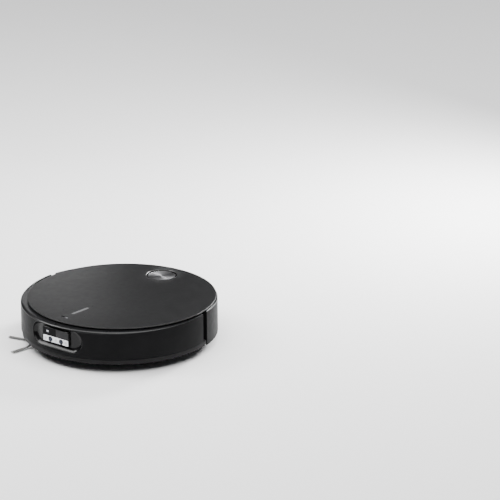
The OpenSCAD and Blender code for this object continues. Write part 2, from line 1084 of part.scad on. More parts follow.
module mop_pad_right() {
    color([0.4, 0.42, 0.46])
    mirror([0, 1, 0])
        mop_pad_half();
}

module lift_motor() {
    color([0.5, 0.5, 0.52])
    translate([unit_bar_x, 0, 0]) {
        block([-7, -9, 50], [7, 9, deck_low - 0.2]);
        translate([0, 0, mop_cap_top + 0.5])
            cylinder(r = screw_r, h = 51 - mop_cap_top - 0.5);
    }
}

module water_tank() {
    color([0.3, 0.35, 0.4, 0.6])
    difference() {
        intersection() {
            block([-158, -52, mop_cap_top + 1], [-120, 52, 56]);
            cylinder(r = 157, h = 100);
        }
        intersection() {
            block([-156, -50, mop_cap_top + 3], [-122, 50, 54]);
            cylinder(r = 155, h = 100);
        }
        translate([-146, 0, 40])
            cylinder(r = 3, h = 40);
    }
}

// ---- Power and control ----

module main_board() {
    color([0.05, 0.3, 0.15])
    union() {
        block([107, -60, 54], [131, 60, 55.6]);
        for (y = [-48, -20, 12, 38])
            block([112, y, 55.5], [124, y + 12, 58]);
        block([108, 50, 55.5], [130, 58, 64]);
    }
}

module battery_pack() {
    color([0.1, 0.15, 0.4])
    block([34, -75, 51], [104, 75, 70.5]);
}

module fan_housing() {
    color([0.2, 0.2, 0.22])
    difference() {
        union() {
            translate([fan_x, 0, fan_low])
                cylinder(r = fan_r, h = fan_top - fan_low);
            block([fan_x, -14, fan_low + 2], [bin_x0 - gap, 14, fan_low + 20]);
        }
        translate([fan_x, 0, fan_low + 2])
            cylinder(r = fan_r - 2, h = fan_top);
        block([fan_x, -12, fan_low + 4], [bin_x0 + 1, 12, fan_low + 18]);
    }
}

module fan_motor() {
    color([0.6, 0.6, 0.62])
    translate([fan_x, 0, fan_low + 18])
        difference() {
            cylinder(r = 14, h = 17);
            translate([0, 0, -eps])
                cylinder(r = 2 + run_fit, h = 10);
        }
}

module fan_impeller() {
    color([0.85, 0.85, 0.86])
    translate([fan_x, 0, fan_low + 4]) {
        cylinder(r = 20, h = 1.5);
        cylinder(r = 6, h = 11);
        cylinder(r = 2, h = 22);
        for (i = [0 : 8])
            rotate([0, 0, i * 40])
                block([5, -0.6, 1], [19, 0.6, 9]);
    }
}

module cliff_sensors() {
    color([0.05, 0.05, 0.06])
    both_sides()
        for (p = cliff_at)
            block([p[0] - 9, p[1] - 5, ground_gap + 0.2], [p[0] + 9, p[1] + 5, 21]);
}

module housing_screws() {
    color([0.75, 0.75, 0.75])
    both_sides()
        for (p = post_at)
            translate([p[0], p[1], ground_gap + 0.2]) {
                cylinder(r = 3, h = 1.1);
                cylinder(r = 1.5, h = 13);
            }
}

chassis();
rear_shell();
top_deck();
core_wall();
brush_housing();
wheel_bracket_left();
wheel_bracket_right();
caster_socket();
sensor_housing();
sensor_window();
camera_lens();
light_bar();
line_lasers();
main_board();
battery_pack();
side_brush_motor();
main_brush_motor();
fan_housing();
fan_motor();
water_tank();
button_bezel();
lift_motor();
charging_contacts();
cliff_sensors();
housing_screws();
bumper_springs();
suspension_springs();
bumper();
recess_bezel();
top_cover();
cover_badge();
indicator_light();
dustbin();
dustbin_lid();
dustbin_handle();
filter();
power_button();
button_spring();
wheel_arm_left();
wheel_arm_right();
wheel_hub_left();
wheel_hub_right();
wheel_tyre_left();
wheel_tyre_right();
wheel_axle_left();
wheel_axle_right();
caster_fork();
caster_wheel();
caster_axle();
brush_core();
brush_blades();
brush_guard();
side_brush_hub();
side_brush_bristles();
fan_impeller();
mop_drive_unit();
mop_plate_left();
mop_plate_right();
mop_pad_left();
mop_pad_right();
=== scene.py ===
"""Looks for the robot vacuum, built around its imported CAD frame. Metres, +X front, +Z up."""
import json
import math
import random

import bmesh
import bpy
from mathutils import Matrix, Vector


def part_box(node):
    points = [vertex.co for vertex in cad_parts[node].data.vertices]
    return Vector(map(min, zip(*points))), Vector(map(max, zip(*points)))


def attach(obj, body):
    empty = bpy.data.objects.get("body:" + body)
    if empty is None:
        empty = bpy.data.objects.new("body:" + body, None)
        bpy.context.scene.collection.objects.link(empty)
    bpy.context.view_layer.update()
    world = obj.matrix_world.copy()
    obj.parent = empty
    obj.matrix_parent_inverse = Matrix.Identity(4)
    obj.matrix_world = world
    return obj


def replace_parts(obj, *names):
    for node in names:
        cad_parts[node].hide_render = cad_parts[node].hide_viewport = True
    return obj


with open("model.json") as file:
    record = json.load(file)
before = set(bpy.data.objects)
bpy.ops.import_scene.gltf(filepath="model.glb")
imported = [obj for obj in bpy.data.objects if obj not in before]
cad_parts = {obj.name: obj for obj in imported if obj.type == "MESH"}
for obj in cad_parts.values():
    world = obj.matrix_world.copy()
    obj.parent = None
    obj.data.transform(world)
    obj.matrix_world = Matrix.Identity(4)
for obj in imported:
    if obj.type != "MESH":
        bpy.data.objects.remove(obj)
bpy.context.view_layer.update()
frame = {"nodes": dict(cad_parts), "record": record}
nodes = frame["nodes"]
MM = 0.001

# ---- Driving dimensions, most of them read from the frame ----

bumper_low, bumper_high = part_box("bumper")
cover_low, cover_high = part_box("top_cover")
button_low, button_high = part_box("power_button")
recess_low, recess_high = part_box("recess_bezel")
window_low, window_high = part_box("sensor_window")

BODY_R = bumper_high.x
SIDE_LOW = bumper_low.z
REAR_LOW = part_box("rear_shell")[0].z
WALL = 2.4 * MM

COVER_R = (cover_high.x - cover_low.x) / 2
COVER_AT = Vector(((cover_high.x + cover_low.x) / 2, (cover_high.y + cover_low.y) / 2, 0))
COVER_LOW, COVER_TOP = cover_low.z, cover_high.z
FLANGE_Z = COVER_LOW - 2 * MM
SHELL_TOP = COVER_LOW - 0.6 * MM

BUTTON_AT = (button_low + button_high) / 2
BUTTON_R = (button_high.y - button_low.y) / 2
BUTTON_TOP = button_high.z

# Directions in degrees: 0 is straight ahead and 90 is to the left
BUMPER_LEFT, BUMPER_RIGHT = 90.3, -102
SHELL_LEFT, SHELL_RIGHT = 94.6, 253.7
WINDOW_ANGLE = -8.5
MARK_ANGLE = -10.5


# ---- Materials ----

def new_material(name):
    """A material with a Principled shader, its node tree and that shader."""
    material = bpy.data.materials.new(name)
    material.use_nodes = True
    tree = material.node_tree
    return material, tree, tree.nodes["Principled BSDF"]


def noise(tree, scale, detail=3.0, roughness=0.5):
    """Noise over the object's own coordinates, so it doesn't depend on UVs."""
    place = tree.nodes.new("ShaderNodeTexCoord")
    node = tree.nodes.new("ShaderNodeTexNoise")
    node.inputs["Scale"].default_value = scale
    node.inputs["Detail"].default_value = detail
    node.inputs["Roughness"].default_value = roughness
    tree.links.new(place.outputs["Object"], node.inputs["Vector"])
    return node


def ramp(tree, source, low, high, start=0.3, end=0.7):
    """Maps a value to a range of colours or greys."""
    node = tree.nodes.new("ShaderNodeValToRGB")
    for element, place, value in zip(node.color_ramp.elements, (start, end), (low, high)):
        element.position = place
        element.color = value if hasattr(value, "__len__") else (value, value, value, 1)
    tree.links.new(source, node.inputs["Fac"])
    return node


def shade(color, factor):
    """The colour made darker or lighter, with full alpha."""
    return (color[0] * factor, color[1] * factor, color[2] * factor, 1)


def bumped(tree, shader, height, distance, strength=1.0):
    """Raises the surface by a height, which is distance metres at most."""
    bump = tree.nodes.new("ShaderNodeBump")
    bump.inputs["Strength"].default_value = strength
    bump.inputs["Distance"].default_value = distance
    tree.links.new(height, bump.inputs["Height"])
    tree.links.new(bump.outputs["Normal"], shader.inputs["Normal"])


def plastic(name, color, rough, grain=2200, depth=0.012, spread=0.05, ior_level=0.5,
            coat=0.0, metallic=0.0):
    """Moulded plastic or plain metal: fine grain, soft blotches of colour and of roughness."""
    material, tree, shader = new_material(name)
    blotch = noise(tree, 38, 4)
    tint = ramp(tree, blotch.outputs["Fac"], shade(color, 0.88), shade(color, 1.14))
    tree.links.new(tint.outputs["Color"], shader.inputs["Base Color"])
    smear = noise(tree, 95, 5, 0.6)
    gloss = ramp(tree, smear.outputs["Fac"], rough - spread, rough + spread)
    tree.links.new(gloss.outputs["Color"], shader.inputs["Roughness"])
    fine = noise(tree, grain, 2)
    bumped(tree, shader, fine.outputs["Fac"], depth * MM)
    shader.inputs["Specular IOR Level"].default_value = ior_level
    shader.inputs["Coat Weight"].default_value = coat
    shader.inputs["Coat Roughness"].default_value = 0.08
    shader.inputs["Metallic"].default_value = metallic
    return material


SPUN_DARK = (0.11, 0.11, 0.113, 1)
SPUN_BRIGHT = (0.165, 0.165, 0.168, 1)


def spun_metal(name):
    """Turned metal: grooves round the disc's own centre, and the streak they give a highlight."""
    material, tree, shader = new_material(name)
    place = tree.nodes.new("ShaderNodeTexCoord")
    centre = tree.nodes.new("ShaderNodeVectorMath")
    centre.operation = "SUBTRACT"
    centre.inputs[1].default_value = (BUTTON_AT.x, BUTTON_AT.y, 0)
    rings = tree.nodes.new("ShaderNodeTexWave")
    rings.wave_type = "RINGS"
    rings.rings_direction = "Z"
    rings.inputs["Scale"].default_value = 700
    rings.inputs["Distortion"].default_value = 0.4
    tree.links.new(place.outputs["Object"], centre.inputs[0])
    tree.links.new(centre.outputs["Vector"], rings.inputs["Vector"])
    tint = ramp(tree, rings.outputs["Fac"], SPUN_DARK, SPUN_BRIGHT, 0, 1)
    tree.links.new(tint.outputs["Color"], shader.inputs["Base Color"])
    bumped(tree, shader, rings.outputs["Fac"], 0.006 * MM)
    tangent = tree.nodes.new("ShaderNodeTangent")
    tangent.direction_type = "RADIAL"
    tangent.axis = "Z"
    tree.links.new(tangent.outputs["Tangent"], shader.inputs["Tangent"])
    shader.inputs["Metallic"].default_value = 1.0
    shader.inputs["Roughness"].default_value = 0.40
    shader.inputs["Anisotropic"].default_value = 0.8
    shader.inputs["Anisotropic Rotation"].default_value = 0.25
    return material


def cloth(name, color, pile):
    """Short looped pile with tufts of uneven colour."""
    material, tree, shader = new_material(name)
    tufts = tree.nodes.new("ShaderNodeTexVoronoi")
    place = tree.nodes.new("ShaderNodeTexCoord")
    tufts.inputs["Scale"].default_value = pile
    tree.links.new(place.outputs["Object"], tufts.inputs["Vector"])
    tint = ramp(tree, tufts.outputs["Distance"], shade(color, 1.25), shade(color, 0.55), 0.1, 0.7)
    tree.links.new(tint.outputs["Color"], shader.inputs["Base Color"])
    bumped(tree, shader, tufts.outputs["Distance"], 0.5 * MM, 0.8)
    shader.inputs["Roughness"].default_value = 0.95
    shader.inputs["Sheen Weight"].default_value = 0.4
    shader.inputs["Specular IOR Level"].default_value = 0.2
    return material


def coated_glass(name, color):
    """Dark coated glass, glossy and opaque behind its coating."""
    material, tree, shader = new_material(name)
    depth = noise(tree, 260, 2)
    tint = ramp(tree, depth.outputs["Fac"], shade(color, 0.8), shade(color, 1.2))
    tree.links.new(tint.outputs["Color"], shader.inputs["Base Color"])
    shader.inputs["Roughness"].default_value = 0.03
    shader.inputs["Specular IOR Level"].default_value = 0.2
    shader.inputs["Coat Weight"].default_value = 0.1
    shader.inputs["Coat Roughness"].default_value = 0.02
    return material


def circuit(name):
    """Green board: solder mask with copper tracks under it."""
    material, tree, shader = new_material(name)
    place = tree.nodes.new("ShaderNodeTexCoord")
    tracks = tree.nodes.new("ShaderNodeTexBrick")
    tracks.inputs["Scale"].default_value = 120
    tracks.inputs["Color1"].default_value = (0.01, 0.10, 0.04, 1)
    tracks.inputs["Color2"].default_value = (0.012, 0.13, 0.05, 1)
    tracks.inputs["Mortar"].default_value = (0.02, 0.2, 0.08, 1)
    tree.links.new(place.outputs["Object"], tracks.inputs["Vector"])
    tree.links.new(tracks.outputs["Color"], shader.inputs["Base Color"])
    bumped(tree, shader, tracks.outputs["Fac"], 0.05 * MM)
    shader.inputs["Roughness"].default_value = 0.35
    return material


COVER_BLACK = plastic("cover_black", (0.0030, 0.0030, 0.0032), 0.40, 2600, 0.010, 0.03, 0.45)
SHELL_BLACK = plastic("shell_black", (0.0060, 0.0060, 0.0064), 0.46, 2400, 0.008, 0.04, 0.04)
SHOULDER_BLACK = plastic("shoulder_black", (0.0060, 0.0060, 0.0064), 0.30, 2400, 0.008, 0.04, 0.30)
RECESS_BLACK = plastic("recess_black", (0.004, 0.004, 0.0043), 0.22, 2400, 0.004, 0.03, 0.2)
CORE_BLACK = plastic("core_black", (0.010, 0.010, 0.0105), 0.55, 1500, 0.02, 0.06, 0.3)
CHASSIS_BLACK = plastic("chassis_black", (0.009, 0.009, 0.0095), 0.42, 1400, 0.02, 0.06, 0.10)
GREY_PLASTIC = plastic("grey_plastic", (0.16, 0.16, 0.17), 0.45, 1600, 0.02)
WHITE_PLASTIC = plastic("white_plastic", (0.78, 0.78, 0.77), 0.4, 1600, 0.015)
GLOSS_BLACK = plastic("gloss_black", (0.003, 0.003, 0.0033), 0.10, 900, 0.001, 0.02, 0.12)
SMOKED = plastic("smoked_plastic", (0.035, 0.036, 0.04), 0.18, 700, 0.003, 0.04, 0.5, 0.5)
STEEL = plastic("steel", (0.55, 0.55, 0.56), 0.28, 1800, 0.006, 0.06, metallic=1.0)
MOTOR_STEEL = plastic("motor_steel", (0.42, 0.42, 0.44), 0.38, 1500, 0.01, 0.08, metallic=1.0)
CONTACT_METAL = plastic("contact_metal", (0.62, 0.54, 0.38), 0.25, 1800, 0.006, 0.06, metallic=1.0)
RUBBER = plastic("tyre_rubber", (0.02, 0.02, 0.02), 0.78, 1300, 0.06, 0.05, 0.3)
BLADE_RUBBER = plastic("blade_rubber", (0.13, 0.035, 0.028), 0.6, 1300, 0.04, 0.06, 0.35)
BRISTLE = plastic("bristle_nylon", (0.20, 0.20, 0.195), 0.5, 3000, 0.004, 0.05, 0.3)
ARM_RUBBER = plastic("arm_rubber", (0.018, 0.018, 0.018), 0.6, 1500, 0.02, 0.05, 0.4)
BATTERY = plastic("battery_wrap", (0.02, 0.06, 0.2), 0.25, 500, 0.01, 0.05, 0.5, 0.3)
SPUN = spun_metal("spun_metal")
MOP_CLOTH = cloth("mop_cloth", (0.20, 0.215, 0.25), 420)
FILTER_PAPER = plastic("filter_paper", (0.75, 0.74, 0.68), 0.9, 900, 0.08, 0.04, 0.2)
BOARD = circuit("circuit_board")
LENS = coated_glass("lens_glass", (0.012, 0.016, 0.03))
PANEL_DARK = plastic("panel_dark", (0.002, 0.002, 0.0025), 0.14, 900, 0.001, 0.02, 0.06)
PANEL_GREY = plastic("panel_grey", (0.020, 0.020, 0.021), 0.24, 900, 0.001, 0.02, 0.12)
SILVER = plastic("silver_film", (0.80, 0.82, 0.85), 0.22, 1500, 0.004, 0.05, 0.5, 0.8)
SILVER_MARK = plastic("silver_mark", (0.55, 0.56, 0.58), 0.3, 1500, 0.004)
BADGE = plastic("badge_grey", (0.075, 0.075, 0.077), 0.30, 1500, 0.004, 0.04)

SLOT_MATERIAL = {
    "black_shell": SHELL_BLACK, "black_cover": COVER_BLACK, "gloss_trim": GLOSS_BLACK,
    "dark_plastic": CORE_BLACK, "grey_plastic": GREY_PLASTIC, "white_plastic": WHITE_PLASTIC,
    "smoked_plastic": SMOKED, "spun_metal": SPUN, "silver_bar": SILVER, "lens_glass": LENS,
    "steel": STEEL, "contact_metal": CONTACT_METAL, "tyre_rubber": RUBBER,
    "blade_rubber": BLADE_RUBBER, "bristle": BRISTLE, "mop_cloth": MOP_CLOTH,
    "circuit_board": BOARD, "battery_wrap": BATTERY, "motor_metal": MOTOR_STEEL,
    "filter_paper": FILTER_PAPER,
}
for part in frame["record"]["subparts"]:
    node = nodes[part["node"]]
    node.data.materials.clear()
    node.data.materials.append(SLOT_MATERIAL[part["material_slot"]])
nodes["chassis"].data.materials[0] = CHASSIS_BLACK


# ---- Mesh helpers ----

def add_mesh(name, verts, faces, material, body, slot, sharp=32):
    """A piece from points in metres, with sharp edges above an angle in degrees."""
    mesh = bpy.data.meshes.new(name)
    mesh.from_pydata([tuple(v) for v in verts], [], faces)
    tidy_mesh(mesh, sharp)
    piece = bpy.data.objects.new(name, mesh)
    bpy.context.scene.collection.objects.link(piece)
    mesh.materials.append(material)
    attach(piece, body)
    return piece


def weld(mesh):
    """Merges doubles and points the faces outwards."""
    work = bmesh.new()
    work.from_mesh(mesh)
    bmesh.ops.remove_doubles(work, verts=work.verts, dist=1e-6)
    bmesh.ops.recalc_face_normals(work, faces=work.faces)
    work.to_mesh(mesh)
    work.free()


def tidy_mesh(mesh, sharp=32):
    """Welds the mesh and smooths all but the edges sharper than an angle in degrees."""
    weld(mesh)
    mesh.shade_smooth()
    mesh.set_sharp_from_angle(angle=math.radians(sharp))


def rectangle(low, high):
    """The corners of a rectangle between two opposite ones."""
    (a0, b0), (a1, b1) = low, high
    return [(a0, b0), (a1, b0), (a1, b1), (a0, b1)]


def lathe(profile, start, end, count, centre=(0, 0)):
    """Turns a closed profile of (radius, height) points between two angles in degrees."""
    full = end - start >= 360
    rows = count if full else count + 1
    verts, faces = [], []
    for i in range(rows):
        angle = math.radians(start + (end - start) * i / count)
        for r, z in profile:
            verts.append((centre[0] + r * math.cos(angle), centre[1] + r * math.sin(angle), z))
    n = len(profile)
    for i in range(count):
        a, b = i * n, ((i + 1) % rows) * n
        for j in range(n):
            k = (j + 1) % n
            faces.append((a + j, b + j, b + k, a + k))
    if not full:
        faces.append(tuple(range(n)))
        faces.append(tuple(reversed(range((rows - 1) * n, rows * n))))
    return verts, faces


def rounded(points, radius, steps=5):
    """A closed outline with its corners rounded; points are 2-D and radius may differ at each."""
    out = []
    n = len(points)
    for i, point in enumerate(points):
        r = radius[i] if hasattr(radius, "__len__") else radius
        here = Vector(point)
        if r <= 0:
            out.append(here)
            continue
        before, after = Vector(points[i - 1]) - here, Vector(points[(i + 1) % n]) - here
        turn = before.angle(after)
        reach = min(r / math.tan(turn / 2), before.length * 0.49, after.length * 0.49)
        a, b = here + before.normalized() * reach, here + after.normalized() * reach
        for s in range(steps + 1):
            t = s / steps
            out.append((a * (1 - t) + here * t) * (1 - t) + (here * (1 - t) + b * t) * t)
    return out


def loft(rings, close_last=False, close_first=False):
    """Joins rings of the same number of points into a skin."""
    n = len(rings[0])
    verts = [p for ring in rings for p in ring]
    faces = []
    for i in range(len(rings) - 1):
        for j in range(n):
            k = (j + 1) % n
            faces.append((i * n + j, i * n + k, (i + 1) * n + k, (i + 1) * n + j))
    if close_first:
        faces.append(tuple(reversed(range(n))))
    if close_last:
        faces.append(tuple(range((len(rings) - 1) * n, len(rings) * n)))
    return verts, faces


def turned_point(angle, distance, across, height):
    """A point given by its distance along a direction, across it and its height."""
    c, s = math.cos(math.radians(angle)), math.sin(math.radians(angle))
    return Vector((distance * c - across * s, distance * s + across * c, height))


def window_point(distance, across, height):
    """A point along the direction that the window faces."""
    return turned_point(WINDOW_ANGLE, distance, across, height)


def mark_point(distance, across, height):
    """A point along the direction of the marks on the cover."""
    return turned_point(MARK_ANGLE, distance, across, height)


def cut(piece, verts, faces):
    """Takes the closed shape of verts and faces out of piece."""
    mesh = bpy.data.meshes.new("cutter")
    mesh.from_pydata([tuple(v) for v in verts], [], faces)
    weld(mesh)
    cutter = bpy.data.objects.new("cutter", mesh)
    bpy.context.scene.collection.objects.link(cutter)
    modifier = piece.modifiers.new("cut", "BOOLEAN")
    modifier.operation = "DIFFERENCE"
    modifier.solver = "EXACT"
    modifier.object = cutter
    bpy.context.view_layer.update()
    evaluated = piece.evaluated_get(bpy.context.evaluated_depsgraph_get())
    shape = bpy.data.meshes.new_from_object(evaluated)
    piece.modifiers.clear()
    piece.data = shape
    bpy.data.objects.remove(cutter)


# ---- Camera, floor and light ----

HEADING = 33
ELEVATION = 20.3
CAMERA_ROLL = math.radians(1.03)
DISTANCE = 9.013
LENS_MM = 364.7
AIM_HEIGHT = 0.040
FRAME_RIGHT = 0.02576
FRAME_UP = 0.01334


def sky_direction(azimuth, elevation):
    """A direction given by degrees round from +X and degrees above the floor."""
    a, e = math.radians(azimuth), math.radians(elevation)
    return Vector((math.cos(a) * math.cos(e), math.sin(a) * math.cos(e), math.sin(e)))


scene = bpy.context.scene
towards = sky_direction(HEADING, ELEVATION)
level = Vector((0, 0, 1)).cross(towards).normalized()
rise = towards.cross(level)
right = level * math.cos(CAMERA_ROLL) - rise * math.sin(CAMERA_ROLL)
up = level * math.sin(CAMERA_ROLL) + rise * math.cos(CAMERA_ROLL)
camera_data = bpy.data.cameras.new("camera")
camera_data.lens = LENS_MM
camera_data.clip_end = 60
camera = bpy.data.objects.new("camera", camera_data)
scene.collection.objects.link(camera)
camera.location = Vector((0, 0, AIM_HEIGHT)) + towards * DISTANCE
back = (towards - right * FRAME_RIGHT - up * FRAME_UP).normalized()
side = (right - back * right.dot(back)).normalized()
camera.rotation_euler = Matrix((side, back.cross(side), back)).transposed().to_euler()
scene.camera = camera

FLOOR_SIZE = 14
FLOOR_Z = -0.0004
floor_mesh = bpy.data.meshes.new("floor")
floor_mesh.from_pydata([(x * FLOOR_SIZE, y * FLOOR_SIZE, FLOOR_Z)
                        for x, y in rectangle((-1, -1), (1, 1))], [], [(0, 1, 2, 3)])
floor = bpy.data.objects.new("floor", floor_mesh)
scene.collection.objects.link(floor)
floor_material, _, floor_shader = new_material("floor_paint")
floor_shader.inputs["Base Color"].default_value = (0.93, 0.93, 0.93, 1)
floor_shader.inputs["Roughness"].default_value = 0.9
floor_shader.inputs["Specular IOR Level"].default_value = 0.1
floor_mesh.materials.append(floor_material)

world = bpy.data.worlds.new("studio")
scene.world = world
world.use_nodes = True
background = world.node_tree.nodes["Background"]
background.inputs["Color"].default_value = (0.9, 0.92, 1.0, 1)
background.inputs["Strength"].default_value = 0.07


def softbox(name, azimuth, elevation, distance, size, power, aim_at=(0, 0, 0.04)):
    """A rectangular light, placed by its direction from the robot's middle."""
    data = bpy.data.lights.new(name, "AREA")
    data.shape = "RECTANGLE"
    data.size, data.size_y = size
    data.energy = power
    light = bpy.data.objects.new(name, data)
    scene.collection.objects.link(light)
    light.location = sky_direction(azimuth, elevation) * distance
    light.rotation_euler = (light.location - Vector(aim_at)).to_track_quat("Z", "Y").to_euler()


softbox("key_overhead", 60, 80, 3.2, (4.2, 4.2), 290)
softbox("back_left", 222, 20, 1.0, (0.24, 0.16), 0.27, (0, 0, 0.08))
softbox("front_left", -70, 45, 1.6, (0.7, 0.7), 22)
softbox("back_right", 164, 26, 1.3, (0.3, 0.3), 30)

# A narrow beam that falls on the button only
BEAM_AZIMUTH, BEAM_ELEVATION, BEAM_DISTANCE = 196, 46, 1.5
beam_data = bpy.data.lights.new("button_beam", "SPOT")
beam_data.energy = 90
beam_data.spot_size = math.radians(2.0)
beam_data.spot_blend = 0.35
beam_data.shadow_soft_size = 0.02
beam = bpy.data.objects.new("button_beam", beam_data)
scene.collection.objects.link(beam)
beam_way = sky_direction(BEAM_AZIMUTH, BEAM_ELEVATION)
beam.location = BUTTON_AT + beam_way * BEAM_DISTANCE
beam.rotation_euler = beam_way.to_track_quat("Z", "Y").to_euler()


# ---- Front bumper ----

RIM_Z = 78.3 * MM  # the wall's height level with the body's centre
RIM_HIGHEST = 79.6 * MM
RIM_FALL = 0.034  # the wall's fall for each metre towards the front
SHOULDER_WIDE = 4.8 * MM
SHOULDER_TALL = 3.0 * MM
EDGE_ROUND = 0.8 * MM
STEP_R = 171.3 * MM
LEDGE_IN, LEDGE_OUT = 0.159, 0.169
LEDGE_THICK = 2 * MM
CLOSING_IN = 0.1655


def smooth(t):
    """Eases from 0 to 1."""
    t = min(1, max(0, t))
    return t * t * (3 - 2 * t)


def swept(section, start, end, count):
    """A skin whose section may change with its direction, given in degrees."""
    rings = []
    for i in range(count + 1):
        angle = start + (end - start) * i / count
        rings.append([turned_point(angle, r, 0, z) for r, z in section(angle)])
    return loft(rings, True, True)


def quarter(corner_r, corner_z, wide, tall, steps=8):
    """A convex edge from the wall's top round to the flat above it."""
    return [(corner_r - wide * (1 - math.cos(t)), corner_z - tall * (1 - math.sin(t)))
            for t in (math.pi / 2 * i / steps for i in range(steps + 1))]


SATIN_SLOPE = 0.12
SATIN_DEPTH = 6 * MM  # below the flange


def satin_top(piece):
    """The shell's upward faces catch the light more than its walls."""
    piece.data.materials.append(SHOULDER_BLACK)
    for face in piece.data.polygons:
        if face.normal.z > SATIN_SLOPE and face.center.z > FLANGE_Z - SATIN_DEPTH:
            face.material_index = 1


def foot(low):
    """The wall's lower end, from its inner face round to its outer one."""
    wall_in = BODY_R - WALL
    return [(wall_in, low + 0.3 * MM), (wall_in + 0.3 * MM, low), (BODY_R - 0.9 * MM, low),
            (BODY_R - 0.26 * MM, low + 0.26 * MM), (BODY_R, low + 0.9 * MM)]


def bumper_section(angle):
    """The wall's top edge falls towards the front, where a broad shoulder takes its place."""
    ahead = BODY_R * math.cos(math.radians(angle))
    wall_top = min(RIM_HIGHEST, RIM_Z - RIM_FALL * ahead)
    top = max(FLANGE_Z, wall_top)
    wide = EDGE_ROUND + SHOULDER_WIDE * smooth((top - wall_top) / SHOULDER_TALL)
    tall = max(top - wall_top, EDGE_ROUND)
    step_r = min(STEP_R, BODY_R - wide - 0.3 * MM)
    points = foot(SIDE_LOW) + quarter(BODY_R, top, wide, tall)
    points += [(step_r, top), (step_r - 0.2 * MM, top - min(0.2 * MM, (top - FLANGE_Z) / 2)),
               (step_r - 0.25 * MM, FLANGE_Z), (LEDGE_IN, FLANGE_Z),
               (LEDGE_IN, FLANGE_Z - LEDGE_THICK), (LEDGE_OUT, FLANGE_Z - LEDGE_THICK),
               (BODY_R - WALL, FLANGE_Z - 4.2 * MM)]
    return points


def end_cap(name, inner, start, top, body):
    """Closes a shell's end, just inside the slot between the bumper and the rear shell."""
    section = rectangle((inner, SIDE_LOW + 0.5 * MM), (BODY_R - 1 * MM, top))
    add_mesh(name, *lathe(section, start, start + 0.8, 2), SHELL_BLACK, body, "black_shell")


RECESS_LEN = 114 * MM
RECESS_Z = (recess_low.z + recess_high.z) / 2
RECESS_H = recess_high.z - recess_low.z - 2.4 * MM
RECESS_DEPTH = 7 * MM
RECESS_CUT = 2.5 * MM
RECESS_REACH = (0.150, 0.185)  # from inside the wall to outside it
BUMPER_STEPS = 420


def bar_outline(length, height, middle, count=28):
    """A round-ended bar's outline as (across, height) points."""
    half = height / 2
    reach = length / 2 - half
    points = []
    for end in (1, -1):
        for i in range(count + 1):
            angle = math.pi * i / count - math.pi / 2
            points.append((end * (reach + half * math.cos(angle)),
                           middle + end * half * math.sin(angle)))
    return points


def on_body(across, height, inset=0.0):
    """A point of the bumper's outer face, straight in front of (across, height)."""
    radius = BODY_R - inset
    return window_point(math.sqrt(radius * radius - across * across), across, height)


bumper = add_mesh("bumper_skin",
                  *swept(bumper_section, BUMPER_RIGHT, BUMPER_LEFT, BUMPER_STEPS),
                  SHELL_BLACK, "bumper", "black_shell")
satin_top(bumper)
outline = bar_outline(RECESS_LEN + RECESS_CUT, RECESS_H + RECESS_CUT, RECESS_Z)
cut(bumper, *loft([[window_point(d, a, z) for a, z in outline] for d in RECESS_REACH], True, True))
tidy_mesh(bumper.data)
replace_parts(bumper, "bumper")

end_cap("bumper_end_right", CLOSING_IN, BUMPER_RIGHT + 0.3, FLANGE_Z - 1.6 * MM, "bumper")
end_cap("bumper_end_left", CLOSING_IN, BUMPER_LEFT - 1.1, FLANGE_Z - 1.6 * MM, "bumper")


# ---- Rear shell ----

REAR_RIM = 79.9 * MM
REAR_RIM_SIDE = 80.3 * MM  # before the limit above, level with the body's centre
REAR_RISE = 0.018  # for each metre forward
REAR_RIM_IN = 173.2 * MM
REAR_EDGE = 1.2 * MM
REAR_STEPS = 340
COVER_GAP = 0.7 * MM
LIP_IN = 0.164
LIP_THICK = 2.2 * MM
REAR_CLOSING_IN = 0.1645
VENTS = 9  # on each side of the back
VENT_START, VENT_STEP = 22, 2.2  # degrees from the middle of the back
VENT_LOW, VENT_HIGH = 0.042, 0.062
VENT_HALF = 1.3 * MM
CONTACT_ANGLE = 7
CONTACT_LOW, CONTACT_HIGH = 0.0338, 0.0462
CONTACT_HALF = 8.2 * MM
INLET_LOW, INLET_HIGH = 0.062, 0.070
INLET_HALF = 4 * MM
WALL_REACH = (0.168, 0.180)  # from inside the wall to outside it


def shell_section(angle):
    """Low under the cover, with a rim beside the cover where there is room for one."""
    ahead = BODY_R * math.cos(math.radians(angle))
    edge = COVER_R + COVER_GAP + COVER_AT.dot(turned_point(angle, 1, 0, 0))
    room = smooth((BODY_R - edge - 1.0 * MM) / (1.4 * MM))
    top = SHELL_TOP + (min(REAR_RIM, REAR_RIM_SIDE + REAR_RISE * ahead) - SHELL_TOP) * room
    inner = min(edge, REAR_RIM_IN)
    points = foot(REAR_LOW) + quarter(BODY_R, top, REAR_EDGE, REAR_EDGE, 6)
    points += [(inner + 0.2 * MM, top), (inner, top - min(0.2 * MM, (top - SHELL_TOP) / 2)),
               (inner - 0.05 * MM, SHELL_TOP), (LIP_IN, SHELL_TOP),
               (LIP_IN, SHELL_TOP - LIP_THICK), (BODY_R - WALL, SHELL_TOP - LIP_THICK)]
    return points


def cut_slot(piece, angle, low, high, half, corner):
    """Cuts an opening with rounded corners straight out through the shell."""
    shape = rounded(rectangle((-half, low), (half, high)), corner, 4)
    cut(piece, *loft([[turned_point(angle, d, x, z) for x, z in shape] for d in WALL_REACH],
                     True, True))


